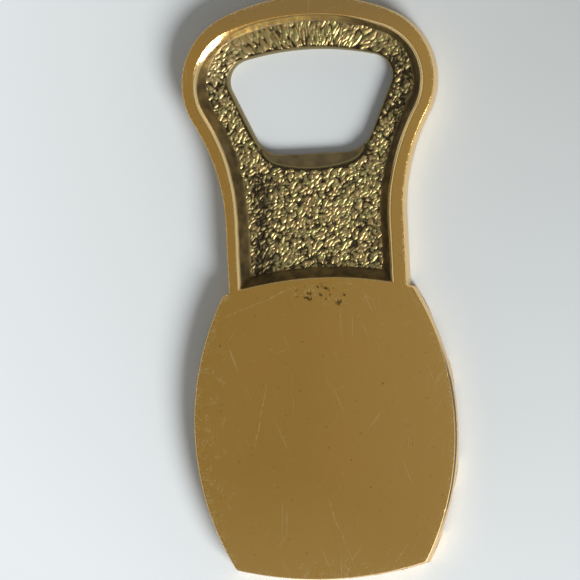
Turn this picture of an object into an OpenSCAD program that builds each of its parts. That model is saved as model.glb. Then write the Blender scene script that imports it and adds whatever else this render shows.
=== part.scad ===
// Cast brass barrel bottle opener, one rigid casting divided into named regions.
// It lies on its front: Z = 0 is the front face, the flat back faces up. +Y points to the head.

/* [Overall] */
// Thickness of the casting, from the front face to the flat back
thickness = 5.5; // [4.5:0.1:7]
// Distance from the middle of the length to the top of the head
head_top = 56.5; // [56:0.5:60]

/* [Head outline] */
// Radius of the rounded shoulders of the head
shoulder_r = 14.4; // [13:0.2:15]
// Half of the distance between the shoulder centres
shoulder_x = 10.4; // [9:0.2:12]
// Height of the shoulder centres above the middle of the length
shoulder_y = 39.9; // [38:0.1:41]
// Width of the straight part of the neck
neck_w = 35; // [32:0.5:35]
// Radius of the hollow flank between head and neck
flank_r = 38.8; // [30:0.2:45]

/* [Pocket] */
// Width of the raised rim at the shoulders and the flanks
rim_w = 3; // [2:0.1:3.6]
// Width of the raised rim at the crown of the head
crown_rim_w = 3.7; // [3.2:0.1:4.2]
// Thickness of the recessed floor
floor_t = 2.5; // [2:0.1:3.5]

/* [Cap opening] */
// Greatest width of the opening
opening_w = 31.6; // [28:0.2:33]
// Height of the opening on the centre line
opening_h = 20.2; // [19:0.2:21]
// Height of the top of the opening above the middle of the length
opening_top = 46.2; // [45.4:0.1:47]
// Radius of the arched top edge of the opening
opening_crown_r = 52; // [45:1:70]
// Radius of the upper corners of the opening
upper_corner_r = 4.2; // [3:0.1:5]
// Radius of the lower corners of the opening
lower_corner_r = 4.8; // [3:0.1:5]
// Slope of the sides of the opening, from vertical
side_slope = 24.5; // [20:0.5:27]

/* [Cap lip] */
// Depth of the sloped lip, from the edge of the opening down the neck
lip_depth = 2.6; // [2:0.1:4]
// Thickness of the lip at its edge
lip_edge_t = 1.7; // [1.2:0.1:2]

/* [Barrel] */
// Length of the barrel on the centre line
barrel_h = 58.4; // [56:0.2:60]
// Greatest width of the barrel
barrel_w = 51.2; // [50:0.2:53]
// Radius of the bulging sides of the barrel
bilge_r = 54.6; // [54:0.2:60]
// Radius of the curved ends of the barrel
end_r = 70; // [60:1:90]

/* [Front relief] */
// Height of the hoops above the staves
hoop_t = 0.9; // [0.5:0.1:1.2]
// Width of each hoop
hoop_w = 5; // [3:0.2:6]
// Depth of the grooves between the staves
groove_depth = 0.5; // [0.3:0.1:0.8]
// Width of the grooves between the staves
groove_w = 0.8; // [0.5:0.1:1.2]
// Number of staves
stave_count = 7; // [5:2:9]

/* [Hidden] */
$fn = 96;
brass = "#9a7436";
dark_brass = "#5f4d2d";
wide = 200;

barrel_y = barrel_h / 2 - head_top;
barrel_top = barrel_y + barrel_h / 2;
neck_foot = barrel_top - 3;
barrel_corner_x = 18.2;
bilge_hoop_gap = 12.5;
overlap = 0.2;

opening_bottom = opening_top - opening_h;
lip_y = opening_bottom - lip_depth;
lip_w = 18;

// Radius of an arc that ends at height `top` on the centre line and touches, from outside,
// a circle of radius r at [x, y] and its mirror image.
function crown_radius(top, x, y, r) = ((top - y) ^ 2 + x ^ 2 - r ^ 2) / (2 * (top - y - r));

// Height of the centre of a hollow flank that touches a shoulder circle and a straight neck.
function flank_height(half_neck, fr, x, y, r) = y - sqrt((r + fr) ^ 2 - (half_neck + fr - x) ^ 2);

function unit(v) = v / norm(v);

// Height at which one arc gives way to the next, rounded so that neighbouring bands share it exactly.
function seam(v) = round(100 * v) / 100;

// Keeps the part of its children between two heights.
module band(y0, y1) {
  intersection() {
    children();
    translate([-wide / 2, y0])
      square([wide, y1 - y0]);
  }
}

// A circle on each side of the centre line.
module circle_pair(centre, r) {
  for (side = [-1, 1])
    translate([side * centre.x, centre.y])
      circle(r);
}

// Strip of half width half_w between two heights.
module strip(half_w, y0, y1) {
  translate([-half_w, y0])
    square([2 * half_w, y1 - y0]);
}

// Head and neck outline: crown arc, shoulder arcs, hollow flanks and a straight neck.
module head_outline(top, r, half_neck, fr) {
  x = shoulder_x;
  y = shoulder_y;
  crown_r = crown_radius(top, x, y, r);
  crown_c = [0, top - crown_r];
  flank_c = [half_neck + fr, flank_height(half_neck, fr, x, y, r)];
  flank_dir = unit(flank_c - [x, y]);
  crown_y = seam(crown_c.y + crown_r * unit([x, y] - crown_c).y);
  flank_y = seam(y + r * flank_dir.y);
  neck_y = seam(flank_c.y);

  band(crown_y, top + 1)
    translate(crown_c)
      circle(crown_r);
  band(flank_y, crown_y)
    circle_pair([x, y], r);
  strip(x, flank_y - overlap, crown_y + overlap);
  difference() {
    strip(x + r * flank_dir.x, neck_y, flank_y);
    circle_pair(flank_c, fr);
  }
  strip(half_neck, neck_foot, neck_y + overlap);
}

module head_2d() {
  head_outline(head_top, shoulder_r, neck_w / 2, flank_r);
}

module pocket_2d() {
  head_outline(head_top - crown_rim_w, shoulder_r - rim_w, neck_w / 2 - rim_w, flank_r + rim_w);
}

// Barrel outline: two bulging sides cut off by two curved ends.
module barrel_2d() {
  intersection_for(side = [-1, 1]) {
    intersection() {
      translate([side * (bilge_r - barrel_w / 2), barrel_y])
        circle(bilge_r);
      translate([0, barrel_y + side * (barrel_h / 2 - end_r)])
        circle(end_r);
    }
  }
}

// Cap opening: arched top, four round corners and sloping sides.
module opening_2d() {
  normal = [cos(side_slope), -sin(side_slope)];
  crown_c = [0, opening_top - opening_crown_r];
  upper_x = opening_w / 2 - upper_corner_r;
  upper_reach = opening_crown_r - upper_corner_r;
  upper_c = [upper_x, crown_c.y + sqrt(upper_reach ^ 2 - upper_x ^ 2)];
  side_top = upper_c + upper_corner_r * normal;
  lower_y = opening_bottom + lower_corner_r;
  lower_x = side_top.x - (lower_corner_r + normal.y * (lower_y - side_top.y)) / normal.x;
  side_end = [lower_x, lower_y] + lower_corner_r * normal;
  crown_y = seam(crown_c.y + opening_crown_r * unit(upper_c - crown_c).y);
  upper_y = seam(side_top.y);
  end_y = seam(side_end.y);

  band(crown_y, opening_top + 1)
    translate(crown_c)
      circle(opening_crown_r);
  band(upper_y, crown_y)
    circle_pair(upper_c, upper_corner_r);
  strip(upper_x - overlap, upper_y - overlap, crown_y + overlap);
  polygon([
    [side_top.x, upper_y],
    [side_end.x, end_y],
    [-side_end.x, end_y],
    [-side_top.x, upper_y]
  ]);
  band(opening_bottom, end_y)
    circle_pair([lower_x, lower_y], lower_corner_r);
  strip(lower_x, opening_bottom, end_y + overlap);
}

module lip_2d() {
  difference() {
    strip(lip_w / 2, lip_y, opening_bottom + lower_corner_r);
    opening_2d();
  }
}

// Floor of the pocket without the opening and the lip.
module floor_2d() {
  difference() {
    pocket_2d();
    opening_2d();
    barrel_2d();
    lip_2d();
  }
}

// Curved strip across the barrel, parallel to its end: side is 1 for the upper end, -1 for the lower.
module hoop_2d(side, inset) {
  intersection() {
    barrel_2d();
    difference() {
      translate([0, barrel_y + side * (barrel_h / 2 - end_r - inset)])
        circle(end_r);
      translate([0, barrel_y + side * (barrel_h / 2 - end_r - inset - hoop_w)])
        circle(end_r);
    }
  }
}

module hoops_2d() {
  for (side = [-1, 1]) {
    hoop_2d(side, 0);
    hoop_2d(side, bilge_hoop_gap);
  }
}

// Pair of grooves between staves, at a fraction of the half width of the barrel.
module stave_grooves_2d(fraction) {
  bulge = fraction * (barrel_w / 2 - barrel_corner_x);
  groove_r = ((barrel_h / 2) ^ 2 + bulge ^ 2) / (2 * bulge);
  for (side = [-1, 1])
    translate([side * (fraction * barrel_w / 2 - groove_r), barrel_y])
      difference() {
        circle(groove_r + groove_w / 2);
        circle(groove_r - groove_w / 2);
      }
}

module grooves_2d() {
  difference() {
    intersection() {
      for (i = [1:2:stave_count - 2])
        stave_grooves_2d(i / stave_count);
      barrel_2d();
    }
    hoops_2d();
  }
}

// Raised wall round the head and down both sides of the neck.
module head_rim() {
  color(brass)
    linear_extrude(thickness)
      difference() {
        head_2d();
        pocket_2d();
        barrel_2d();
      }
}

// Recessed floor round the opening.
module head_web() {
  color(dark_brass)
    linear_extrude(floor_t)
      band(lip_y, head_top)
        floor_2d();
}

// Recessed floor in the neck, between the lip and the barrel.
module neck_panel() {
  color(dark_brass)
    linear_extrude(floor_t)
      band(neck_foot, lip_y)
        floor_2d();
}

// Sloped lip that hooks under the edge of the cap.
module cap_lip() {
  color(dark_brass)
    intersection() {
      linear_extrude(floor_t)
        lip_2d();
      rotate([90, 0, 90])
        translate([lip_y, 0, -lip_w / 2])
          linear_extrude(lip_w)
            polygon([
              [0, 0],
              [lip_depth + lower_corner_r, 0],
              [lip_depth + lower_corner_r, lip_edge_t],
              [lip_depth, lip_edge_t],
              [0, floor_t]
            ]);
    }
}

// Handle with its flat back, and staves on the front.
module barrel_body() {
  color(brass)
    translate([0, 0, hoop_t])
      difference() {
        linear_extrude(thickness - hoop_t)
          barrel_2d();
        translate([0, 0, -1])
          linear_extrude(groove_depth + 1)
            grooves_2d();
      }
}

module hoop(side, inset) {
  color(brass)
    linear_extrude(hoop_t)
      hoop_2d(side, inset);
}

module upper_chime_hoop() {
  hoop(1, 0);
}

module upper_bilge_hoop() {
  hoop(1, bilge_hoop_gap);
}

module lower_bilge_hoop() {
  hoop(-1, bilge_hoop_gap);
}

module lower_chime_hoop() {
  hoop(-1, 0);
}

head_rim();
head_web();
neck_panel();
cap_lip();
barrel_body();
upper_chime_hoop();
upper_bilge_hoop();
lower_bilge_hoop();
lower_chime_hoop();
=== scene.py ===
"""Cast brass barrel bottle opener, lying on its front with the flat back up. Lengths are in metres."""

import math

import bpy
from mathutils import Matrix, Vector, noise


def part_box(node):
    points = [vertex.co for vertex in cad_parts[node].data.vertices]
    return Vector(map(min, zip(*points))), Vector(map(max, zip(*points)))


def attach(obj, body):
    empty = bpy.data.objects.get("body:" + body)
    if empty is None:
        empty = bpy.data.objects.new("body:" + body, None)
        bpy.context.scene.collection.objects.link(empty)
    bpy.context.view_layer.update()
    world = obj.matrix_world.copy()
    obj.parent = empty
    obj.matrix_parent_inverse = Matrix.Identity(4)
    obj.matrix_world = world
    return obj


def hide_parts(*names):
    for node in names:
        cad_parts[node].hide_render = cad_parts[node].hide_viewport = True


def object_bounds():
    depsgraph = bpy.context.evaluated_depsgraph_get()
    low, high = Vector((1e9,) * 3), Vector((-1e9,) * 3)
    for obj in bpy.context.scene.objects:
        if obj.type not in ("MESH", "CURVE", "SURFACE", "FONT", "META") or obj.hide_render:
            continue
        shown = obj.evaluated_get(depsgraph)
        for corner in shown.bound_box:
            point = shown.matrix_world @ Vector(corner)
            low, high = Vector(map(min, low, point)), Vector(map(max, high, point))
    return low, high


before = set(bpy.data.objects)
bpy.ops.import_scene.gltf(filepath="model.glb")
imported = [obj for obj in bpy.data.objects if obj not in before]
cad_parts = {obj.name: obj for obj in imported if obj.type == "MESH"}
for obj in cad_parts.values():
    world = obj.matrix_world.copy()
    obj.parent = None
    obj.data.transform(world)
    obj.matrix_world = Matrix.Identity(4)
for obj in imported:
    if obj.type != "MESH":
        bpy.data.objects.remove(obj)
cad_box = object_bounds()
MM = 0.001
noise.seed_set(3)  # fixes what noise_vector gives

# ---------------------------------------------------------------- sizes from the parts of model.glb
FRONT_Z = cad_box[0].z
BACK_Z = cad_box[1].z
HEAD_TOP = cad_box[1].y
FLOOR_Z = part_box("neck_panel")[1].z
LIP_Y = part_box("neck_panel")[1].y
BARREL_LOW, BARREL_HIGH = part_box("barrel_body")
BARREL_Y = (BARREL_LOW.y + BARREL_HIGH.y) / 2
BARREL_HALF_W = BARREL_HIGH.x
BARREL_HALF_H = BARREL_HIGH.y - BARREL_Y
STAVE_Z = BARREL_LOW.z
HOOP_GAP = BARREL_HIGH.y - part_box("upper_bilge_hoop")[1].y

# ---------------------------------------------------------------- radii and widths
SHOULDER = Vector((10.4, 39.9)) * MM
SHOULDER_R = 14.4 * MM
NECK_HALF_W = 17.5 * MM
FLANK_R = 38.8 * MM
BILGE_R = 54.6 * MM
END_R = 70 * MM
OPENING_TOP = 46.1 * MM
OPENING_H = 20.1 * MM
OPENING_HALF_W = 15.8 * MM
OPENING_CROWN_R = 52 * MM
UPPER_CORNER_R = 4.2 * MM
LOWER_CORNER_R = 5.4 * MM
SIDE_SLOPE = math.radians(24.5)
RING_CENTRE = Vector((0, 37)) * MM
DRAFT = 0.15 * MM
LIP_HALF_W = 9.8 * MM
LIP_DEPTH = 2.6 * MM
LIP_EDGE_Z = 1.7 * MM
HOOP_W = 5 * MM
STAVES = 7


# ---------------------------------------------------------------- small helpers
def smooth(low, high, value):
    """0 below low, 1 above high, and a smooth step between them."""
    t = min(1, max(0, (value - low) / (high - low)))
    return t * t * (3 - 2 * t)


def mix(a, b, t):
    return a + (b - a) * t


def flat(x, y):
    """A point in the plane, where mathutils noise can read it in millimetres."""
    return Vector((x / MM, y / MM, 0))


def arc(centre, radius, start, end, count):
    """Points on an arc between two angles in radians, without the last one."""
    for i in range(count):
        a = mix(start, end, i / count)
        yield centre + radius * Vector((math.cos(a), math.sin(a)))


def angle(v):
    return math.atan2(v.y, v.x)


# ---------------------------------------------------------------- outlines
def head_half(top, shoulder_r, half_neck, flank_r, foot_y):
    """Right half of a head outline: crown, shoulder, hollow flank, and neck down to foot_y."""
    rise = top - SHOULDER.y
    crown_r = (rise**2 + SHOULDER.x**2 - shoulder_r**2) / (2 * (rise - shoulder_r))
    crown = Vector((0, top - crown_r))
    flank_x = half_neck + flank_r
    drop = math.sqrt((shoulder_r + flank_r) ** 2 - (flank_x - SHOULDER.x) ** 2)
    flank = Vector((flank_x, SHOULDER.y - drop))
    join = angle(SHOULDER - crown)
    turn = angle(flank - SHOULDER)
    points = list(arc(crown, crown_r, math.pi / 2, join, 60))
    points += arc(SHOULDER, shoulder_r, join, turn, 110)
    points += arc(flank, flank_r, turn + math.pi, math.pi, 80)
    points += [Vector((half_neck, mix(flank.y, foot_y, i / 60))) for i in range(61)]
    return points


def head_path(top, shoulder_r, half_neck, flank_r, foot_y):
    """Whole head outline, from the left foot of the neck over the crown to the right foot."""
    right = head_half(top, shoulder_r, half_neck, flank_r, foot_y)
    left = [Vector((-p.x, p.y)) for p in right[:0:-1]]
    return left + right


def end_arc(x):
    """Distance from the middle of the barrel to its curved end, at x."""
    return BARREL_HALF_H - END_R + math.sqrt(END_R**2 - x**2)


def bilge(y):
    """Half width of the barrel at y."""
    return BARREL_HALF_W - BILGE_R + math.sqrt(BILGE_R**2 - (y - BARREL_Y) ** 2)


def on_barrel(u, side, drop):
    """Point of the barrel at a fraction u of its half width, drop below its upper or lower end."""
    x = 0
    for _ in range(8):
        y = BARREL_Y + side * (end_arc(x) - drop)
        x = u * bilge(y)
    return Vector((x, y))


def fillet(before, corner, after, radius, count):
    """Points of a round corner between two nearly straight runs."""
    a, b = (before - corner).normalized(), (after - corner).normalized()
    half = math.acos(max(-1, min(1, a.dot(b)))) / 2
    centre = corner + (a + b).normalized() * (radius / math.sin(half))
    reach = radius / math.tan(half)
    start, end = angle(corner + a * reach - centre), angle(corner + b * reach - centre)
    if end - start > math.pi:
        end -= 2 * math.pi
    if start - end > math.pi:
        end += 2 * math.pi
    return reach, list(arc(centre, radius, start, end, count))


def barrel_outline():
    """Barrel outline, clockwise from its upper right corner, with small round corners."""
    upper, lower = on_barrel(1, 1, 0), on_barrel(1, -1, 0)
    side = [Vector((bilge(y), y)) for y in (mix(upper.y, lower.y, i / 170) for i in range(171))]
    end = [on_barrel(mix(1, -1, i / 130), -1, 0) for i in range(131)]
    left = [Vector((-p.x, p.y)) for p in reversed(side)]
    top = [on_barrel(mix(-1, 1, i / 260), 1, 0) for i in range(261)]
    runs = [side, end, left, top]
    radii = [1.0 * MM, 1.0 * MM, 0.6 * MM, 0.6 * MM]
    points = []
    reach_in = fillet(top[-5], side[0], side[5], radii[3], 6)[0]
    for run, following, radius in zip(runs, runs[1:] + runs[:1], radii):
        reach, bend = fillet(run[-6], run[-1], following[5], radius, 8)
        points += [
            p for p in run
            if (p - run[0]).length > reach_in and (p - run[-1]).length > reach
        ]
        points += bend
        reach_in = reach
    return points


def opening_outline():
    """Right half of the cap opening, from its top to its bottom, on the centre line."""
    out = Vector((math.cos(SIDE_SLOPE), -math.sin(SIDE_SLOPE)))
    crown = Vector((0, OPENING_TOP - OPENING_CROWN_R))
    upper_x = OPENING_HALF_W - UPPER_CORNER_R
    reach = OPENING_CROWN_R - UPPER_CORNER_R
    upper = Vector((upper_x, crown.y + math.sqrt(reach**2 - upper_x**2)))
    side = upper + out * UPPER_CORNER_R
    bottom = OPENING_TOP - OPENING_H
    lower_y = bottom + LOWER_CORNER_R
    lower_x = side.x - (LOWER_CORNER_R + out.y * (lower_y - side.y)) / out.x
    lower = Vector((lower_x, lower_y))
    join = angle(upper - crown)
    points = list(arc(crown, OPENING_CROWN_R, math.pi / 2, join, 40))
    points += arc(upper, UPPER_CORNER_R, join, -SIDE_SLOPE, 30)
    points += [side.lerp(lower + out * LOWER_CORNER_R, i / 40) for i in range(40)]
    points += arc(lower, LOWER_CORNER_R, -SIDE_SLOPE, -math.pi / 2, 30)
    points += [Vector((mix(lower_x, 0, i / 20), bottom)) for i in range(21)]
    return points


def polar_radius(points):
    """Distance from RING_CENTRE to a closed outline as a function of the angle."""
    spots = sorted((angle(p - RING_CENTRE), (p - RING_CENTRE).length) for p in points)
    spots = [(spots[-1][0] - 2 * math.pi, spots[-1][1])] + spots
    spots.append((spots[1][0] + 2 * math.pi, spots[1][1]))

    def radius(a):
        a = math.remainder(a, 2 * math.pi)
        low, high = 0, len(spots) - 1
        while high - low > 1:
            middle = (low + high) // 2
            if spots[middle][0] <= a:
                low = middle
            else:
                high = middle
        (a0, r0), (a1, r1) = spots[low], spots[high]
        return mix(r0, r1, (a - a0) / (a1 - a0)) if a1 > a0 else r0

    return radius


half = opening_outline()
opening_radius = polar_radius(half + [Vector((-p.x, p.y)) for p in half[1:-1]])


# ---------------------------------------------------------------- surface relief
PEBBLE_COS, PEBBLE_SIN = 0.64, 0.77  # the pebbles of the neck are longer in this direction


def hand_ground(x, y):
    """Slight unevenness of the hand-ground back, which bends its reflections."""
    p = flat(x, y)
    return (0.016 * noise.noise(p * 0.09) + 0.006 * noise.noise(p * 0.3 + Vector((7, 3, 1)))) * MM


def pits(x, y):
    """Depth from 0 to 1 of small casting pits in the back of the barrel, close to the neck."""
    p = flat(x, y)
    patch = math.exp(-(((p.x + 0.5) / 4.2) ** 2) - ((p.y + 0.8) / 1.9) ** 2)
    patch = max(patch, 0.8 * math.exp(-(((p.x - 4.6) / 1.8) ** 2) - ((p.y + 2.2) / 2.1) ** 2))
    bent = p + 0.5 * noise.noise_vector(p * 0.9)
    stroke = Vector((bent.x * 0.75 - bent.y * 0.35, bent.x * 0.7 + bent.y * 1.5, 3.3))
    spots = noise.noise(stroke) + 0.6 * noise.noise(bent * 2.9)
    return smooth(0.10, 0.55, spots) * smooth(0.15, 0.7, patch)


def wear(x, y, edge):
    """Amount of rubbed and dented spots of the back, where edge is 1 at its edge and 0 inside."""
    p = flat(x, y)
    broken = noise.noise(p * 0.5 + Vector((2, 9, 4))) + 0.6 * noise.noise(p * 1.9)
    left = (1 - smooth(-23 * MM, -13 * MM, x)) * (1 - smooth(-2 * MM, 1 * MM, y))
    foot = 1 - smooth(BARREL_LOW.y + 1.5 * MM, BARREL_LOW.y + 6 * MM, y)
    foot *= 1 - smooth(6 * MM, 12 * MM, abs(x + 1 * MM))
    neck = math.exp(-(((p.x - 2.5) / 8) ** 2) - ((p.y + 1) / 1.8) ** 2)
    spot = max(edge, 0.8 * left, 1.1 * foot, 3 * neck)
    return min(0.9, smooth(-0.1, 0.4, broken + 0.5 * edge) * spot)


def lip_boundary(a):
    """Distance from RING_CENTRE to where the smooth edge of the floor begins, at an angle."""
    r = opening_radius(a)
    x = math.cos(a) * r / LIP_HALF_W
    if math.sin(a) > 0 or abs(x) >= 1:
        return r
    return r + LIP_DEPTH * (1 - x**2) ** 0.7


def pebbles(q):
    """Height from 0 to 1 of irregular round lumps of about one unit each, with thin creases."""
    q = q + 0.4 * noise.noise_vector(q * 0.8)
    dome = max(0, 1 - (noise.voronoi(q)[0][0] / 0.75) ** 2)
    fold = min(1, 2.6 * abs(noise.noise(q * 0.95 + Vector((4, 7, 2)))))
    return 0.5 * dome + 0.5 * fold


def stipple(x, y):
    """Height from 0 to 1 of the cast stipple: slanting pebbles below, radial ridges in the crown."""
    offset = Vector((x, y)) - RING_CENTRE
    r, a = offset.length, angle(offset)
    ring = smooth(39 * MM, 46 * MM, y) * (1 - smooth(12 * MM, 18 * MM, abs(x)))
    height = 0
    if ring < 1:
        along = PEBBLE_COS * x + PEBBLE_SIN * y
        over = PEBBLE_COS * y - PEBBLE_SIN * x
        height += (1 - ring) * pebbles(flat(along / 1.05, over / 0.74))
    if ring > 0:
        around = Vector((math.cos(a) * 21, math.sin(a) * 21, r / MM / 1.7))
        height += ring * pebbles(around)
    grain = noise.noise(flat(x, y) * 5.5)
    clear = (r - lip_boundary(a)) / MM + 0.5 * noise.noise(flat(x, y) * 1.1)
    return (height + 0.12 * grain) * smooth(0.35, 1.3, clear)


# ---------------------------------------------------------------- mesh building
def build(name, vertices, faces, materials, nodes, polish_and_painted_light=None, relief=None, dark=()):
    """Makes one shown piece. The polish and relief values for each vertex are read by the materials;
    on the floors of the head and neck they also carry painted light and shade.
    """
    mesh = bpy.data.meshes.new(name)
    mesh.from_pydata(vertices, [], faces)
    mesh.validate()
    for material in materials:
        mesh.materials.append(material)
    for index in dark:
        mesh.polygons[index].material_index = 1
    for key, values in (("polish_and_painted_light", polish_and_painted_light), ("relief", relief)):
        layer = mesh.attributes.new(key, "FLOAT", "POINT")
        layer.data.foreach_set("value", values or [0.0] * len(vertices))
    mesh.polygons.foreach_set("use_smooth", [True] * len(mesh.polygons))
    mesh.set_sharp_from_angle(angle=math.radians(42))
    piece = bpy.data.objects.new(name, mesh)
    bpy.context.collection.objects.link(piece)
    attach(piece, "root")
    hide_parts(*nodes)


def loft_faces(ring_count, ring_size, closed):
    """Quads between rings of closed sections. A closed loft joins its last ring to its first."""
    faces = []
    for i in range(ring_count if closed else ring_count - 1):
        a, b = i * ring_size, (i + 1) % ring_count * ring_size
        for j in range(ring_size):
            k = (j + 1) % ring_size
            faces.append((a + j, a + k, b + k, b + j))
    if not closed:
        faces.append(tuple(range(ring_size - 1, -1, -1)))
        last = (ring_count - 1) * ring_size
        faces.append(tuple(range(last, last + ring_size)))
    return faces


# ---------------------------------------------------------------- materials
def node(tree, kind, inputs=None, **settings):
    """Adds a shader node. An input that is a socket is linked, and any other is set."""
    made = tree.nodes.new("ShaderNode" + kind)
    for key, value in settings.items():
        setattr(made, key, value)
    for key, value in (inputs or {}).items():
        if isinstance(value, bpy.types.NodeSocket):
            tree.links.new(value, made.inputs[key])
        else:
            made.inputs[key].default_value = value
    return made


def grain(tree, scale, turn=0.0, detail=2.0, shift=0.0):
    """Noise from 0 to 1. scale holds its features per metre along each axis, turned about Z."""
    coords = node(tree, "TexCoord").outputs["Object"]
    place = {"Vector": coords, "Rotation": (0, 0, turn), "Location": (shift, shift, shift)}
    turned = node(tree, "Mapping", place).outputs[0]
    sized = node(tree, "Mapping", {"Vector": turned, "Scale": scale}).outputs[0]
    return node(tree, "TexNoise", {"Vector": sized, "Scale": 1.0, "Detail": detail}).outputs["Fac"]


def step(tree, value, low, high, bottom=0.0, top=1.0):
    """value from low to high, mapped to bottom to top and held there."""
    span = {"Value": value, "From Min": low, "From Max": high, "To Min": bottom, "To Max": top}
    return node(tree, "MapRange", span).outputs[0]


def calc(tree, operation, a, b):
    return node(tree, "Math", {0: a, 1: b}, operation=operation).outputs[0]


def blend(tree, factor, a, b):
    """Colour a where factor is 0, and b where it is 1."""
    made = node(tree, "Mix", {"Factor": factor}, data_type="RGBA")
    for key, value in ((6, a), (7, b)):
        if isinstance(value, bpy.types.NodeSocket):
            tree.links.new(value, made.inputs[key])
        else:
            made.inputs[key].default_value = (*value, 1)
    return made.outputs[2]


def attribute(tree, name):
    return node(tree, "Attribute", attribute_name=name).outputs["Fac"]


def scratches(tree):
    """Mask of fine scratches in several directions, in patches."""
    total = None
    for turn, across, along, cut, shift in (
        (0.05, 4600, 80, 0.70, 0.0),
        (0.65, 5000, 90, 0.71, 0.31),
        (-0.35, 4400, 60, 0.70, 0.57),
        (1.25, 5200, 120, 0.72, 0.83),
    ):
        line = step(tree, grain(tree, (across, along, 1), turn, 1.0, shift), cut, cut + 0.05)
        patch = step(tree, grain(tree, (110, 110, 1), turn, 1.0, shift + 0.1), 0.48, 0.66)
        line = calc(tree, "MULTIPLY", line, patch)
        total = line if total is None else calc(tree, "MAXIMUM", total, line)
    return total


def long_scratch(tree, start, turn, length):
    """Mask of one long fine scratch from a point (x, y) in millimetres, at an angle in degrees."""
    coords = node(tree, "TexCoord").outputs["Object"]
    spread = node(tree, "VectorMath", {0: coords, "Scale": 1 / MM}, operation="SCALE").outputs[0]
    place = {"Vector": spread, "Location": (*start, 0), "Rotation": (0, 0, math.radians(turn))}
    turned = node(tree, "Mapping", place, vector_type="TEXTURE").outputs[0]
    part = node(tree, "SeparateXYZ", {0: turned}).outputs
    wander = step(tree, grain(tree, (160, 160, 160), detail=1.0), 0.3, 0.7, -0.35, 0.35)
    across = calc(tree, "ABSOLUTE", calc(tree, "ADD", part["Y"], wander), 0)
    line = step(tree, across, 0.05, 0.13, 1, 0)
    middle = calc(tree, "ABSOLUTE", calc(tree, "SUBTRACT", part["X"], length / 2), 0)
    line = calc(tree, "MULTIPLY", line, step(tree, middle, length * 0.4, length * 0.5, 1, 0))
    return calc(tree, "MULTIPLY", line, step(tree, grain(tree, (900, 900, 900)), 0.35, 0.6))


def finish_metal(tree, colour, roughness, height, distance):
    """Metal surface with that colour, roughness and height."""
    bump = node(tree, "Bump", {"Height": height, "Strength": 1.0, "Distance": distance})
    shader = tree.nodes["Principled BSDF"]
    tree.links.new(colour, shader.inputs["Base Color"])
    tree.links.new(roughness, shader.inputs["Roughness"])
    tree.links.new(bump.outputs[0], shader.inputs["Normal"])
    shader.inputs["Metallic"].default_value = 1.0


def new_material(name):
    material = bpy.data.materials.new(name)
    material.use_nodes = True
    return material, material.node_tree


PALE_BRASS = (0.90, 0.70, 0.36)
FACE_BRASS = (0.805, 0.468, 0.104)
WARM_BRASS = (0.85, 0.487, 0.11)
# painted highlight colour for the right side and the lower end of the face
PAINTED_LIGHT_BRASS = (1.0, 0.61, 0.175)
SCRATCHED_BRASS = (1.0, 0.77, 0.38)
DULL_BRASS = (0.60, 0.345, 0.085)
DARK_PATINA = (0.115, 0.088, 0.052)
LIGHT_PATINA = (0.27, 0.205, 0.095)
PIT_BROWN = (0.13, 0.075, 0.022)
CAST_BRASS = (0.70, 0.58, 0.38)
CROWN_BRASS = (0.70, 0.44, 0.146)
GREEN_PEBBLE = (0.56, 0.49, 0.20)
RED_PEBBLE = (0.63, 0.46, 0.205)
BLACK_CREASE = (0.05, 0.038, 0.024)
BROWN_CREASE = (0.12, 0.09, 0.045)
PLAIN_PAPER = (0.83, 0.882, 0.92)
# painted shade colour of the paper beyond PAPER_CORNER
PAINTED_SHADE_PAPER = (0.502, 0.529, 0.535)
WARM_HORIZON = (0.62, 0.58, 0.51)
DIM_WALL = (0.12, 0.125, 0.13)
SOFT_CEILING = (0.31, 0.31, 0.31)
PAPER_CORNER = (53 * MM, 56 * MM)


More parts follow.
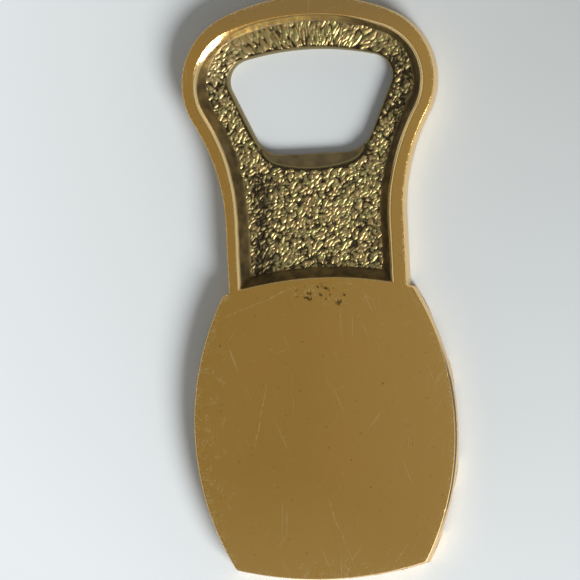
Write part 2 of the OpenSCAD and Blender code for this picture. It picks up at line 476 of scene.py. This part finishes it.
def polished_brass():
    """Ground and hand-polished brass: faint brushing, fine scratches, specks, paler worn edges, and a
    painted highlight that brightens the right side and the lower end of the face.
    """
    material, tree = new_material("polished_brass")
    polish_and_painted_light = attribute(tree, "polish_and_painted_light")
    tone = grain(tree, (55, 55, 55), detail=3.0)
    brushing = grain(tree, (9000, 260, 260), turn=0.03)
    marks = scratches(tree)
    rubs = step(tree, grain(tree, (3200, 700, 1), 0.5, shift=0.7), 0.56, 0.66)
    rubs = calc(tree, "MAXIMUM", rubs, step(tree, grain(tree, (2600, 500, 1), -0.9), 0.58, 0.68))
    rubs = calc(tree, "MAXIMUM", rubs, step(tree, grain(tree, (900, 2400, 1), 0.3), 0.58, 0.68))
    marks = calc(tree, "MAXIMUM", marks, calc(tree, "MULTIPLY", rubs, step(tree, polish_and_painted_light, 0.05, 0.3)))
    for start, turn, length in (((-19, -5), 20, 15), ((-14, -31), 76, 14), ((3, -49), 112, 9)):
        marks = calc(tree, "MAXIMUM", marks, long_scratch(tree, start, turn, length))
    dents = step(tree, grain(tree, (1100, 1100, 1100), shift=0.9), 0.72, 0.77)
    marks = calc(tree, "MAXIMUM", marks, calc(tree, "MULTIPLY", dents, 0.7))
    specks = step(tree, grain(tree, (1500, 1500, 1500), shift=0.2), 0.70, 0.76)
    place = node(tree, "SeparateXYZ", {0: node(tree, "TexCoord").outputs["Object"]})
    # Painted highlight: the face is drawn brighter toward its right side and its lower end, where the
    # light falls on it.
    painted_light_side = step(tree, place.outputs["X"], -0.005, 0.03)
    painted_light_side = calc(tree, "MAXIMUM", painted_light_side, step(tree, place.outputs["Y"], -0.035, -0.06))
    colour = blend(tree, step(tree, tone, 0.35, 0.65), FACE_BRASS, WARM_BRASS)
    colour = blend(tree, calc(tree, "MULTIPLY", painted_light_side, 0.85), colour, PAINTED_LIGHT_BRASS)
    colour = blend(tree, step(tree, place.outputs["Y"], 0.046, 0.054), colour, CROWN_BRASS)
    colour = blend(tree, step(tree, brushing, 0.35, 0.75, 0.0, 0.10), colour, DULL_BRASS)
    colour = blend(tree, calc(tree, "MULTIPLY", marks, 0.6), colour, SCRATCHED_BRASS)
    colour = blend(tree, calc(tree, "MULTIPLY", specks, 0.5), colour, DARK_PATINA)
    colour = blend(tree, step(tree, polish_and_painted_light, 0.3, 1.0), colour, PALE_BRASS)
    cast = step(tree, polish_and_painted_light, 0.0, -1.0)
    colour = blend(tree, calc(tree, "MULTIPLY", cast, 0.8), colour, CAST_BRASS)
    colour = blend(tree, step(tree, attribute(tree, "relief"), 0.1, 0.85), colour, PIT_BROWN)
    rough = step(tree, brushing, 0.3, 0.7, 0.17, 0.25)
    rough = calc(tree, "ADD", rough, calc(tree, "MULTIPLY", marks, 0.12))
    rough = calc(tree, "MULTIPLY", rough, step(tree, polish_and_painted_light, 0.55, 1, 1, 0.5))
    rough = calc(tree, "ADD", rough, calc(tree, "MULTIPLY", cast, 0.33))
    height = calc(tree, "SUBTRACT", calc(tree, "MULTIPLY", brushing, 0.15), marks)
    height = calc(tree, "SUBTRACT", height, specks)
    finish_metal(tree, colour, rough, height, 0.006 * MM)
    return material


def dark_brass():
    """Smooth cast brass with a brown patina, worn to brass next to a polished edge."""
    material, tree = new_material("smooth_dark_brass")
    polish_and_painted_light = attribute(tree, "polish_and_painted_light")
    cloud = grain(tree, (420, 420, 420), detail=4.0)
    fine = grain(tree, (3800, 3800, 3800), detail=3.0, shift=0.4)
    colour = blend(tree, step(tree, cloud, 0.35, 0.68), DARK_PATINA, LIGHT_PATINA)
    colour = blend(tree, step(tree, polish_and_painted_light, 0.2, 1.0), colour, PALE_BRASS)
    rough = step(tree, fine, 0.3, 0.7, 0.38, 0.52)
    height = calc(tree, "ADD", fine, calc(tree, "MULTIPLY", cloud, 2.0))
    finish_metal(tree, colour, rough, height, 0.012 * MM)
    return material


def stippled_brass():
    """Cast stipple: dark creases between the pebbles, brass with faint tints on top of them, and
    painted light and shade carried by the relief and polish values.
    """
    material, tree = new_material("antiqued_brass")
    relief = attribute(tree, "relief")
    fine = grain(tree, (3200, 3200, 3200), detail=3.0)
    tint = grain(tree, (700, 700, 700), detail=1.0, shift=0.6)
    top = blend(tree, step(tree, tint, 0.40, 0.60), GREEN_PEBBLE, RED_PEBBLE)
    top = blend(tree, step(tree, fine, 0.45, 0.75, 0.0, 0.35), top, LIGHT_PATINA)
    bottom = blend(tree, step(tree, fine, 0.4, 0.7), BLACK_CREASE, BROWN_CREASE)
    colour = blend(tree, step(tree, relief, 0.2, 0.62), bottom, top)
    # Painted highlight: the polish value blends the pebbles at the upper left of the head ring to pale
    # brass.
    colour = blend(tree, attribute(tree, "polish_and_painted_light"), colour, PALE_BRASS)
    rough = step(tree, fine, 0.3, 0.7, 0.38, 0.50)
    finish_metal(tree, colour, rough, fine, 0.008 * MM)
    return material


def pale_paper():
    """Matt off-white paper with a faint tooth, with painted shade that darkens it beyond PAPER_CORNER,
    toward the upper right.
    """
    material, tree = new_material("pale_paper")
    tooth = grain(tree, (2500, 2500, 2500), detail=4.0)
    cloud = grain(tree, (9, 9, 9), detail=1.0)
    place = node(tree, "SeparateXYZ", {0: node(tree, "TexCoord").outputs["Object"]})
    left = calc(tree, "MAXIMUM", calc(tree, "SUBTRACT", PAPER_CORNER[0], place.outputs["X"]), 0.0)
    low = calc(tree, "MAXIMUM", calc(tree, "SUBTRACT", PAPER_CORNER[1], place.outputs["Y"]), 0.0)
    away = calc(tree, "ADD", calc(tree, "MULTIPLY", left, left), calc(tree, "MULTIPLY", low, low))
    away = calc(tree, "SQRT", away, 0.0)
    away = calc(tree, "ADD", away, calc(tree, "MULTIPLY", cloud, 0.01))
    # Painted shade: light falling off toward the upper right is drawn into the paper's colour.
    colour = blend(tree, step(tree, away, 0.005, 0.16), PAINTED_SHADE_PAPER, PLAIN_PAPER)
    bump = node(tree, "Bump", {"Height": tooth, "Strength": 1.0, "Distance": 0.01 * MM})
    shader = tree.nodes["Principled BSDF"]
    tree.links.new(colour, shader.inputs["Base Color"])
    tree.links.new(bump.outputs[0], shader.inputs["Normal"])
    shader.inputs["Roughness"].default_value = 1.0
    shader.inputs["Specular IOR Level"].default_value = 0.0
    return material


BRASS, DARK, STIPPLED = polished_brass(), dark_brass(), stippled_brass()

# ---------------------------------------------------------------- raised rim of the head and neck
NECK_FOOT_Y = BARREL_Y + end_arc(NECK_HALF_W)
LEAN = 0.4 * MM
WALL_LUMP = 0.035 * MM
AS_CAST = -1


def lean(points):
    """Moves the neck's part of a pocket outline slightly to the left, as the casting has it."""
    return [Vector((p.x - LEAN * (1 - smooth(12 * MM, 30 * MM, p.y)), p.y)) for p in points]


def pocket_path(crown, side, extra=0.0):
    """Outline inside the rim: crown and side are its distances from the outer outline."""
    top = HEAD_TOP - (crown + extra) * MM
    inset = (side + extra) * MM
    path = head_path(top, SHOULDER_R - inset, NECK_HALF_W - inset, FLANK_R + inset, NECK_FOOT_Y)
    return lean(path)


outer_path = head_path(HEAD_TOP, SHOULDER_R, NECK_HALF_W, FLANK_R, NECK_FOOT_Y)
flat_path = pocket_path(3.5, 2.1)
foot_path = pocket_path(5.1, 4.7)


def bevel_width(p):
    """Width of the worn edge of the pocket, broad at the upper left and thin at the crown."""
    broad = math.exp(-(((p - Vector((-17.5, 48.5)) * MM).length / (5.2 * MM)) ** 2))
    crown = smooth(49 * MM, 52 * MM, p.y) * (1 - smooth(6 * MM, 14 * MM, abs(p.x)))
    uneven = 0.08 * noise.noise(flat(p.x, p.y) * 0.35)
    return (0.62 + 0.65 * broad - 0.35 * crown + uneven) * MM


def on_crown(p):
    """1 along the top of the head and 0 elsewhere."""
    return smooth(46 * MM, 51 * MM, p.y) * (1 - smooth(8 * MM, 15 * MM, abs(p.x + 3 * MM)))


def rim_section(outer, flat_in, foot):
    """Points (distance in, height, polish) round one section of the rim, and where it turns dark."""
    inward = (foot - outer).normalized()
    total = (foot - outer).length
    land = (flat_in - outer).dot(inward)
    bevel = bevel_width(flat_in)
    front_r, back_r = 0.5 * MM, 0.3 * MM
    crown = on_crown(flat_in)
    bright = 1 - 0.85 * crown
    fall = 0.3 - 0.25 * smooth(0.8 * MM, 1.2 * MM, bevel)
    turns = [math.radians(a) for a in (0, 22, 45, 67, 90)]
    section = [(total + 0.3 * MM, FRONT_Z + 0.4 * MM, 0), (total - 0.57 * MM, FRONT_Z, 0)]
    section.append((total / 2, FRONT_Z, 0))
    section += [
        (front_r * (1 - math.sin(a)), FRONT_Z + front_r * (1 - math.cos(a)), AS_CAST * math.sin(a))
        for a in turns
    ]
    for i in range(1, 7):
        z = mix(front_r, BACK_Z - back_r, i / 7)
        section.append((DRAFT * z / BACK_Z, z, AS_CAST))
    section += [
        (DRAFT + back_r * (1 - math.cos(a)), BACK_Z - back_r * (1 - math.sin(a)), 0.35)
        for a in turns
    ]
    section += [(mix(DRAFT + back_r, land, i / 8), BACK_Z, 0) for i in range(1, 9)]
    for t in (0.2, 0.4, 0.6, 0.8, 1.0):
        section.append((land + bevel * t, BACK_Z - bevel * (0.52 * t + fall * t**2), bright))
    dark_from = len(section) - 1
    top_z = section[-1][1]
    for i in range(1, 9):
        t = i / 8
        d, z = mix(land + bevel, total - 0.4 * MM, t), mix(top_z, FLOOR_Z + 0.35 * MM, t)
        section.append((d, z, 0.3 if i == 1 else 0.55 * crown))
    section.append((total - 0.2 * MM, FLOOR_Z + 0.15 * MM, 0.4 * crown))
    section.append((total, FLOOR_Z + 0.03 * MM, 0))
    section.append((total + 0.35 * MM, FLOOR_Z - 0.35 * MM, 0))
    return inward, section, dark_from


def make_rim():
    vertices, polish_and_painted_light = [], []
    for outer, flat_in, foot in zip(outer_path, flat_path, foot_path):
        inward, section, dark_from = rim_section(outer, flat_in, foot)
        for j, (d, z, wear_and_painted_light) in enumerate(section):
            p = outer + inward * d
            in_neck = max(0, (16 * MM - p.y) / (16 * MM - NECK_FOOT_Y))
            if in_neck > 0:
                end_y = BARREL_Y + end_arc(p.x)
                p = Vector((p.x, p.y + (end_y - NECK_FOOT_Y) * min(1, in_neck)))
            if z > BACK_Z - 0.01 * MM:
                z += hand_ground(p.x, p.y)
            if dark_from < j < len(section) - 1:
                z += WALL_LUMP * noise.noise(Vector((p.x, p.y, z)) / MM * 0.9)
            vertices.append((p.x, p.y, z))
            polish_and_painted_light.append(wear_and_painted_light)
    size = len(section)
    faces = loft_faces(len(outer_path), size, closed=False)
    dark = [i for i in range(len(faces) - 2) if i % size >= dark_from]
    build("head_rim_body", vertices, faces, [BRASS, DARK], ["head_rim"],
          polish_and_painted_light=polish_and_painted_light, dark=dark)


make_rim()

# ---------------------------------------------------------------- stippled floor of the head
SPLIT_Y = LIP_Y - 1 * MM
STIPPLE_H = 0.26 * MM
FLOOR_LOW = FLOOR_Z - 0.08 * MM
floor_path = pocket_path(5.1, 4.7, extra=-0.6)


def ring_painted_light(x, y):
    """Painted light on the pebbles of the head: a painted highlight at the upper left of the ring (to
    1) and painted shade at its right (to -1).
    """
    p = Vector((x, y)) / MM
    bright = math.exp(-(((p.x + 18) / 5.5) ** 2) - ((p.y - 43) / 6.5) ** 2)
    dull = math.exp(-(((p.x - 19) / 5.5) ** 2) - ((p.y - 37) / 12) ** 2)
    return bright - dull


def make_web():
    border = [p for p in floor_path if p.y > SPLIT_Y]
    across = [border[-1].lerp(border[0], i / 200) for i in range(1, 200)]
    outer_radius = polar_radius(border + across)
    columns, rows = 960, 62
    vertices, relief, polish_and_painted_light = [], [], []
    for i in range(columns):
        a = 2 * math.pi * i / columns
        ray = Vector((math.cos(a), math.sin(a)))
        inner, outer = lip_boundary(a), outer_radius(a)
        free = 1 - smooth(0, 0.6 * MM, inner - opening_radius(a))
        edge = [
            (outer, FRONT_Z),
            (inner + 0.35 * MM * free, FRONT_Z),
            (inner + 0.1 * MM * free, FRONT_Z + 0.1 * MM),
            (inner, FRONT_Z + 0.35 * MM),
            (inner + 0.1 * MM * free, FLOOR_LOW / 2),
            (inner + 0.2 * MM * free, FLOOR_LOW - 0.45 * MM * free - 0.05 * MM),
            (inner + 0.3 * MM * free, FLOOR_LOW - 0.25 * MM * free),
            (inner + 0.45 * MM * free, FLOOR_LOW - 0.1 * MM * free),
        ]
        for r, z in edge:
            p = RING_CENTRE + ray * r
            vertices.append((p.x, p.y, z))
            relief.append(0.7 if z < FRONT_Z + 0.2 * MM else 0.38)
            polish_and_painted_light.append(0)
        start = inner + 0.6 * MM * free
        for j in range(rows):
            r = mix(start, outer, j / (rows - 1))
            p = RING_CENTRE + ray * r
            height = stipple(p.x, p.y)
            # Painted light: the ring's pebbles are drawn paler at its upper left (painted highlight),
            # darker at its right (painted shade), and lighter toward the crown (painted highlight).
            wear_and_painted_light = ring_painted_light(p.x, p.y)
            vertices.append((p.x, p.y, FLOOR_LOW + STIPPLE_H * height))
            shown = max(height, 0.42 * (1 - smooth(0, 0.9 * MM, r - inner)))
            in_crown = 0.12 * smooth(44 * MM, 48 * MM, p.y)
            relief.append(shown * (1 + 0.42 * min(0, wear_and_painted_light)) + in_crown)
            polish_and_painted_light.append(0.75 * max(0, wear_and_painted_light) * smooth(0.2, 0.8, height))
    faces = loft_faces(columns, len(edge) + rows, closed=True)
    build("head_floor", vertices, faces, [STIPPLED], ["head_web"],
          polish_and_painted_light=polish_and_painted_light, relief=relief)


make_web()


# ---------------------------------------------------------------- cap lip
def make_lip():
    reach = math.asin(LIP_HALF_W / opening_radius(math.radians(-50)))
    columns, rows = 160, 14
    vertices = []
    for i in range(columns + 1):
        a = -math.pi / 2 + mix(-reach, reach, i / columns)
        ray = Vector((math.cos(a), math.sin(a)))
        inner, outer = opening_radius(a), lip_boundary(a) + 0.25 * MM
        share = min(1, (outer - inner) / LIP_DEPTH)
        edge_z = mix(FLOOR_LOW - 0.1 * MM, LIP_EDGE_Z, share)
        front = FRONT_Z + 0.4 * MM * (1 - smooth(0.12, 0.3, share))
        section = [
            (outer, FRONT_Z + 0.4 * MM),
            (max(inner + 0.31 * MM, outer - 0.22 * MM), front),
            (inner + 0.3 * MM, front),
            (inner + 0.08 * MM, front + 0.1 * MM),
            (inner, front + 0.35 * MM),
            (inner + 0.02 * MM, edge_z - 0.35 * MM),
            (inner + 0.1 * MM, edge_z - 0.12 * MM),
            (inner + 0.28 * MM, edge_z),
        ]
        for j in range(1, rows + 1):
            t = j / rows
            section.append((mix(inner + 0.28 * MM, outer, t), mix(edge_z, FLOOR_LOW, t**1.2)))
        for r, z in section:
            p = RING_CENTRE + ray * r
            if z > edge_z - 0.05 * MM:
                z += 0.03 * MM * noise.noise(flat(p.x, p.y) * 1.3)
            vertices.append((p.x, p.y, z))
    faces = loft_faces(columns + 1, len(section), closed=False)
    build("lifting_lip", vertices, faces, [DARK], ["cap_lip"],
          polish_and_painted_light=[0.32] * len(vertices))


make_lip()


# ---------------------------------------------------------------- stippled floor of the neck
def floor_edge(y):
    """Half width of the pocket floor in the neck at y, under the foot of its walls."""
    inset = 4.1 * MM
    flank_r, half_neck = FLANK_R + inset, NECK_HALF_W - inset
    flank_x = half_neck + flank_r
    reach = (SHOULDER_R - inset + flank_r) ** 2 - (flank_x - SHOULDER.x) ** 2
    flank_y = SHOULDER.y - math.sqrt(reach)
    return half_neck if y < flank_y else flank_x - math.sqrt(flank_r**2 - (y - flank_y) ** 2)


def make_neck():
    columns, rows = 300, 225
    vertices, relief = [], []
    for i in range(rows):
        along = i / (rows - 1)
        for j in range(columns):
            u = mix(-1, 1, j / (columns - 1))
            y = SPLIT_Y
            for _ in range(2):
                x = lean([Vector((u * floor_edge(y), y))])[0].x
                y = mix(BARREL_Y + end_arc(x) + 0.02 * MM, SPLIT_Y + 0.3 * MM, along)
            height = stipple(x, y)
            below = 0.01 * MM if y > SPLIT_Y else 0
            vertices.append((x, y, FLOOR_LOW + STIPPLE_H * height - below))
            # Painted shade: the pebbles are drawn darker in a band near the left side of the neck
            # floor.
            relief.append(height * (1 - 0.55 * math.exp(-(((x / MM + 10.6) / 2.2) ** 2))))
        for x, y in (vertices[-1][:2], vertices[-columns][:2]):
            y = min(y, SPLIT_Y + 0.05 * (y - SPLIT_Y))
            rise = 0.3 * MM * (1 - smooth(0, 1.5 * MM, y - BARREL_HIGH.y))
            vertices.append((x, y, FRONT_Z + rise))
            relief.append(0.7)
    faces = loft_faces(rows, columns + 2, closed=False)
    build("neck_floor", vertices, faces, [STIPPLED], ["neck_panel"],
          relief=relief)


make_neck()

# ---------------------------------------------------------------- barrel
GROOVE_Z = STAVE_Z + 0.5 * MM
APRON = 2.3 * MM
PIT_DEPTH = 0.07 * MM
LIT_SIDE = Vector((0.64, -0.77))


def edge_kind(p):
    """How far a point of the barrel's outline lies in the pocket, and on a side of the neck."""
    if p.y < BARREL_Y + BARREL_HALF_H - 4 * MM:
        return 0, 0
    x = p.x + LEAN
    pocket = 1 - smooth(14.6 * MM, 15.0 * MM, abs(x))
    neck = smooth(14.6 * MM, 15.0 * MM, abs(x)) * (1 - smooth(17.4 * MM, 17.6 * MM, abs(p.x)))
    return pocket, neck


def pit_patina_and_dark_lines(x, y, z):
    """Dark patina in the pits, and darker colour along the right edge and in a thin line at the lower
    end.
    """
    if BACK_Z - 1.9 * MM < z < BACK_Z - 0.1 * MM and x > 0.8 * bilge(y) - 1 * MM:
        return 0.9 * smooth(-52 * MM, -40 * MM, y) * (1 - smooth(-20 * MM, -8 * MM, y))
    if BACK_Z - 0.4 * MM < z < BACK_Z - 0.1 * MM and y < -50 * MM:
        return 0.5
    return pits(x, y) if z > BACK_Z - 0.5 * MM and y > -12 * MM else 0


def make_barrel():
    outline = barrel_outline()
    count = len(outline)
    centre = Vector((0, BARREL_Y))
    inward, radius, fade, apron, facing = [], [], [], [], []
    for i, p in enumerate(outline):
        along = outline[(i + 1) % count] - outline[i - 1]
        inward.append(Vector((along.y, -along.x)).normalized())
        pocket, neck = edge_kind(p)
        nick = 0.25 * MM * smooth(0.42, 0.7, noise.noise(flat(p.x, p.y) * 0.8))
        facing.append(smooth(0.1, 0.6, -inward[i].dot(LIT_SIDE)))
        edge_r = mix(0.3, 0.12, facing[i]) * MM + nick
        radius.append(mix(mix(edge_r, 0.12 * MM, pocket), 0.0, neck))
        fade.append(1 - max(pocket, neck))
        upper = p.y > BARREL_Y + BARREL_HALF_H - 4 * MM
        apron.append(APRON if upper and abs(p.x) < 16.3 * MM else 0)
    rings = []

    def edge_polish(i):
        """Polish of the rounded back edge: dull on its lit side, and bright next to the pocket."""
        pocket, neck = edge_kind(outline[i])
        return mix(0.35, 0.7 * AS_CAST, facing[i]) * (1 - neck) + 0.5 * pocket

    def ring(place, wear_and_painted_light=None):
        rings.append([(*place(i), wear_and_painted_light(i) if wear_and_painted_light else 0) for i in range(count)])

    def offset(i, d, z):
        p = outline[i] + inward[i] * d
        return p.x, p.y, z

    def toward_centre(i, t, z):
        p = centre.lerp(outline[i], t)
        return p.x, p.y, z

    for t in (0.03, 0.5):
        ring(lambda i: toward_centre(i, t, GROOVE_Z))
    ring(lambda i: offset(i, 0.4 * MM, GROOVE_Z))
    ring(lambda i: offset(i, 0.05 * MM, GROOVE_Z))
    for k in range(1, 9):
        def wall(i):
            z = mix(GROOVE_Z, BACK_Z - radius[i], k / 9)
            down = min(1, (BACK_Z - z) / (BACK_Z - FLOOR_LOW))
            spread = apron[i] * down**1.25
            lump = WALL_LUMP * noise.noise(Vector((*outline[i], z)) / MM * 0.9) if spread else 0
            return offset(i, (0 if fade[i] < 1 else DRAFT * z / BACK_Z) - spread + lump, z)
        ring(wall, lambda i: AS_CAST if fade[i] == 1 else 0)
    for a in (0, 30, 60, 90):
        turn = math.radians(a)
        ring(
            lambda i: offset(
                i,
                DRAFT * fade[i] + radius[i] * (1 - math.cos(turn)),
                BACK_Z - radius[i] * (1 - math.sin(turn)) - 0.04 * MM * fade[i],
            ),
            edge_polish,
        )
    steps = 62
    for k in range(1, steps + 1):
        t = (k / steps) ** 1.4 * 0.985

        def on_top(i):
            start = outline[i] + inward[i] * (DRAFT * fade[i] + radius[i])
            return start, start.lerp(centre, t)

        def worn_top(i):
            p = on_top(i)[1]
            edge = fade[i] * (1 - smooth(0.2 * MM, 2.2 * MM, (p - outline[i]).length))
            return 0.32 * wear(p.x, p.y, edge)

        def top(i):
            start, p = on_top(i)
            roll = 0.04 * MM * fade[i] * (1 - smooth(0, 2.4 * MM, (p - start).length))
            return p.x, p.y, BACK_Z + hand_ground(p.x, p.y) - PIT_DEPTH * pits(p.x, p.y) - roll
        ring(top, worn_top)
    vertices = [v[:3] for r in rings for v in r]
    polish_and_painted_light = [v[3] for r in rings for v in r]
    relief = [pit_patina_and_dark_lines(*v) for v in vertices]
    faces = loft_faces(len(rings), count, closed=False)
    dark = [
        band * count + i
        for band in range(2, 13)
        for i in range(count)
        if edge_kind(outline[i])[0] > 0.5
    ]
    build("barrel_handle", vertices, faces, [BRASS, DARK], ["barrel_body"],
          polish_and_painted_light=polish_and_painted_light, relief=relief, dark=dark)


make_barrel()


# ---------------------------------------------------------------- staves and hoops of the unseen front
STAVE_GAP = 0.35 * MM
OUTER_GAP = 0.05 * MM
STAVE_ROUND = 0.38 * MM
HOOP_EDGE_R = 0.3 * MM


def make_staves():
    vertices, faces, polish_and_painted_light = [], [], []
    rows, columns = 90, 12
    for k in range(STAVES):
        left, right = (2 * k - STAVES) / STAVES, (2 * k + 2 - STAVES) / STAVES
        start = len(vertices)
        for i in range(rows + 1):
            v = mix(-1, 1, i / rows)
            for j in range(columns + 1):
                t = mix(-1, 1, j / columns)
                u = mix(left, right, j / columns)
                end = on_barrel(u, 1 if v > 0 else -1, 0)
                y = BARREL_Y + (end.y - BARREL_Y) * abs(v)
                x = u * bilge(y) - t * (STAVE_GAP if abs(u) < 1 else OUTER_GAP)
                crown = 1 - abs(t) ** 4
                wood = 0.03 * MM * noise.noise(Vector((x / MM * 1.6, y / MM * 0.16, k)))
                z = STAVE_Z + STAVE_ROUND * (1 - crown) - wood
                vertices.append((x, y, z))
                polish_and_painted_light.append(0.04 * crown)
            for x, y, _ in (vertices[-1], vertices[-columns - 1]):
                vertices.append((x, y, GROOVE_Z + 0.2 * MM))
                polish_and_painted_light.append(0)
        size = columns + 3
        for face in loft_faces(rows + 1, size, closed=False):
            faces.append(tuple(start + index for index in face))
    build("front_staves", vertices, faces, [BRASS], ["barrel_body"],
          polish_and_painted_light=polish_and_painted_light)


make_staves()


def make_hoop(name, cad_node, side, inset):
    """A hoop at a distance inset from the upper (side 1) or lower (side -1) end of the barrel."""
    vertices, polish_and_painted_light = [], []
    count = 150
    turns = [math.radians(a) for a in (0, 30, 60, 90)]
    section = [(0.02 * MM, GROOVE_Z)]
    section += [
        (HOOP_EDGE_R * (1 - math.cos(a)), FRONT_Z + HOOP_EDGE_R * (1 - math.sin(a)))
        for a in turns
    ]
    section += [(HOOP_W * t, FRONT_Z) for t in (0.25, 0.5, 0.75)]
    section += [(HOOP_W - d, z) for d, z in reversed(section[:5])]
    for i in range(count + 1):
        u = mix(-0.998, 0.998, i / count)
        for drop, z in section:
            p = on_barrel(u, side, inset + drop)
            rise = 0
            if z < STAVE_Z:
                rise += 0.35 * MM * smooth(0.985, 0.998, abs(u))
            if z <= FRONT_Z:
                dent = noise.noise(flat(p.x, p.y) * 0.5 + Vector((0, 0, inset / MM)))
                rise += 0.02 * MM * max(0, dent)
            vertices.append((p.x, p.y, z + rise))
            polish_and_painted_light.append(AS_CAST if z > FRONT_Z + 0.1 * MM else 0.08)
    faces = loft_faces(count + 1, len(section), closed=False)
    build(name, vertices, faces, [BRASS], [cad_node], polish_and_painted_light=polish_and_painted_light)


make_hoop("chime_hoop_upper", "upper_chime_hoop", 1, 0)
make_hoop("bilge_hoop_upper", "upper_bilge_hoop", 1, HOOP_GAP)
make_hoop("bilge_hoop_lower", "lower_bilge_hoop", -1, HOOP_GAP)
make_hoop("chime_hoop_lower", "lower_chime_hoop", -1, 0)

# ---------------------------------------------------------------- floor, light and camera
bpy.ops.mesh.primitive_plane_add(size=2.4, location=(0, 0, FRONT_Z - 0.02 * MM))
floor = bpy.context.object
floor.name = "floor"
floor.data.materials.append(pale_paper())

key = bpy.data.objects.new("key", bpy.data.lights.new("key", "SUN"))
key.data.angle = math.radians(28)
key.data.energy = 3.73
key.data.color = (1.0, 1.0, 0.99)
toward_key = Vector((0.89, -1.08, 1.0)).normalized()
key.rotation_mode = "QUATERNION"
key.rotation_quaternion = toward_key.to_track_quat("Z", "Y")
bpy.context.collection.objects.link(key)


def soft_room():
    """Plain room: warm and bright at the horizon, dim halfway up, softly lit overhead."""
    world = bpy.data.worlds.new("soft_room")
    world.use_nodes = True
    tree = world.node_tree
    way = node(tree, "TexCoord").outputs["Generated"]
    height = node(tree, "SeparateXYZ", {0: way}).outputs["Z"]
    colour = blend(tree, step(tree, height, 0.38, 0.6), WARM_HORIZON, DIM_WALL)
    colour = blend(tree, step(tree, height, 0.75, 0.9), colour, SOFT_CEILING)
    tree.links.new(colour, tree.nodes["Background"].inputs["Color"])
    bpy.context.scene.world = world


soft_room()
bpy.context.scene.view_settings.view_transform = "Standard"

TILT = math.radians(8.8)
ROLL = math.radians(2.8)
DISTANCE = 2.0
VIEW_H = 112.0 * MM
AIM = Vector((-5.4 * MM, -0.2 * MM, BACK_Z))
back = Vector((math.sin(TILT), 0, math.cos(TILT)))
level = Vector((math.cos(TILT), 0, -math.sin(TILT)))
right = math.cos(ROLL) * level - math.sin(ROLL) * Vector((0, 1, 0))
camera = bpy.data.objects.new("camera", bpy.data.cameras.new("camera"))
camera.data.lens = camera.data.sensor_width * DISTANCE / VIEW_H
camera.data.clip_start = 0.1
camera.rotation_mode = "QUATERNION"
camera.rotation_quaternion = Matrix((right, back.cross(right), back)).transposed().to_quaternion()
camera.location = AIM + back * DISTANCE
bpy.context.collection.objects.link(camera)
bpy.context.scene.camera = camera
